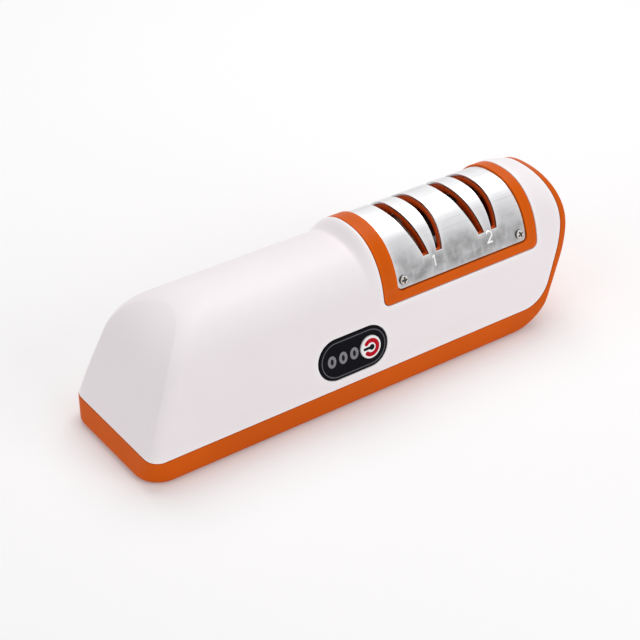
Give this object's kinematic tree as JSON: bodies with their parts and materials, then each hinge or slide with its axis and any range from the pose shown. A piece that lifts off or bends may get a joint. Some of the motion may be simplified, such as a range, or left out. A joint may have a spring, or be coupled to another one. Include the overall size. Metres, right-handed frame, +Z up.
{
  "type": "electric knife sharpener",
  "caption": "Cordless electric knife sharpener: long handle-like body, raised grinding head with slanted blade slots under a steel cover, front control panel with a power button.",
  "frame": {"origin": "on the table under the middle of the body, at the height of the rubber feet's undersides", "axes": "+X along the body towards the grinding head, -Y towards the control panel, +Z up"},
  "size_m": [0.2146, 0.062, 0.0646],
  "materials": {
    "white_shell": "fine satin, slightly pearly",
    "orange_shell": "satin",
    "cover_steel": "brushed along the body",
    "screw_chrome": "bright plated",
    "plated_steel": "zinc plated",
    "panel_black": "glossy",
    "button_white": "satin",
    "lens_grey": "clear over a grey ring",
    "foot_rubber": "matt",
    "inner_black": "moulded, matt",
    "circuit_board": "solder mask",
    "bearing_bronze": "sintered, oiled",
    "rotor_copper": "enamelled winding",
    "fine_stone": "fine abrasive",
    "coarse_stone": "coarse abrasive",
    "cell_sleeve": "shrunk plastic sleeve over a metal can",
    "lead_red": "soft insulation",
    "lead_black": "soft insulation"
  },
  "bodies": {
    "housing": {"base_housing": "orange_shell", "upper_housing": "white_shell", "saddle_frame": "orange_shell", "slot_cover_plate": "cover_steel", "cover_screw_1": "screw_chrome", "cover_screw_2": "screw_chrome", "cover_screw_3": "screw_chrome", "cover_screw_4": "screw_chrome", "control_panel": "panel_black", "tact_switch": "inner_black", "indicator_lens_1": "lens_grey", "indicator_lens_2": "lens_grey", "indicator_lens_3": "lens_grey", "control_board": "circuit_board", "rubber_foot_1": "foot_rubber", "rubber_foot_2": "foot_rubber", "rubber_foot_3": "foot_rubber", "rubber_foot_4": "foot_rubber", "base_screw_1": "plated_steel", "base_screw_2": "plated_steel", "base_screw_3": "plated_steel", "base_screw_4": "plated_steel", "battery_tray": "inner_black", "battery_cell_1": "cell_sleeve", "battery_cell_2": "cell_sleeve", "battery_contact_1": "plated_steel", "battery_contact_2": "plated_steel", "battery_contact_3": "plated_steel", "motor_can": "plated_steel", "motor_end_cap": "inner_black", "motor_cradle": "inner_black", "motor_strap_1": "plated_steel", "motor_strap_2": "plated_steel", "strap_screw_1": "plated_steel", "strap_screw_2": "plated_steel", "strap_screw_3": "plated_steel", "strap_screw_4": "plated_steel", "spindle_bearing_1": "bearing_bronze", "spindle_bearing_2": "bearing_bronze", "bearing_support_1": "inner_black", "bearing_support_2": "inner_black", "charging_socket": "plated_steel", "charging_board": "circuit_board", "battery_lead_plus": "lead_red", "battery_lead_minus": "lead_black", "motor_lead_plus": "lead_red", "motor_lead_minus": "lead_black", "charging_cable": "lead_black"},
    "power_button": {"power_button": "button_white", "switch_plunger": "inner_black"},
    "spindle": {"motor_rotor": "rotor_copper", "shaft_coupling": "inner_black", "grinding_spindle": "plated_steel", "wheel_spring_1": "screw_chrome", "wheel_spring_2": "screw_chrome"},
    "fine_wheel_1": {"fine_wheel_1": "fine_stone"},
    "fine_wheel_2": {"fine_wheel_2": "fine_stone"},
    "coarse_wheel_1": {"coarse_wheel_1": "coarse_stone"},
    "coarse_wheel_2": {"coarse_wheel_2": "coarse_stone"}
  },
  "joints": [
    {"name": "power_button_press", "type": "slide", "parent": "housing", "child": "power_button", "axis": [0, 0.9842, -0.1771], "range_m": [0, 0.0006], "stiffness_N_per_m": 800},
    {"name": "spindle_spin", "type": "hinge", "parent": "housing", "child": "spindle", "pos_m": [0, 0, 0.039], "axis": [1, 0, 0], "continuous": true},
    {"name": "fine_wheel_1_slide", "type": "slide", "parent": "spindle", "child": "fine_wheel_1", "axis": [1, 0, 0], "range_m": [0, 0.0007], "stiffness_N_per_m": 600, "deforming": ["wheel_spring_1"]},
    {"name": "fine_wheel_2_slide", "type": "slide", "parent": "spindle", "child": "fine_wheel_2", "axis": [-1, 0, 0], "range_m": [0, 0.0007], "stiffness_N_per_m": 600, "deforming": ["wheel_spring_1"]},
    {"name": "coarse_wheel_1_slide", "type": "slide", "parent": "spindle", "child": "coarse_wheel_1", "axis": [1, 0, 0], "range_m": [0, 0.0007], "stiffness_N_per_m": 600, "deforming": ["wheel_spring_2"]},
    {"name": "coarse_wheel_2_slide", "type": "slide", "parent": "spindle", "child": "coarse_wheel_2", "axis": [-1, 0, 0], "range_m": [0, 0.0007], "stiffness_N_per_m": 600, "deforming": ["wheel_spring_2"]}
  ]
}
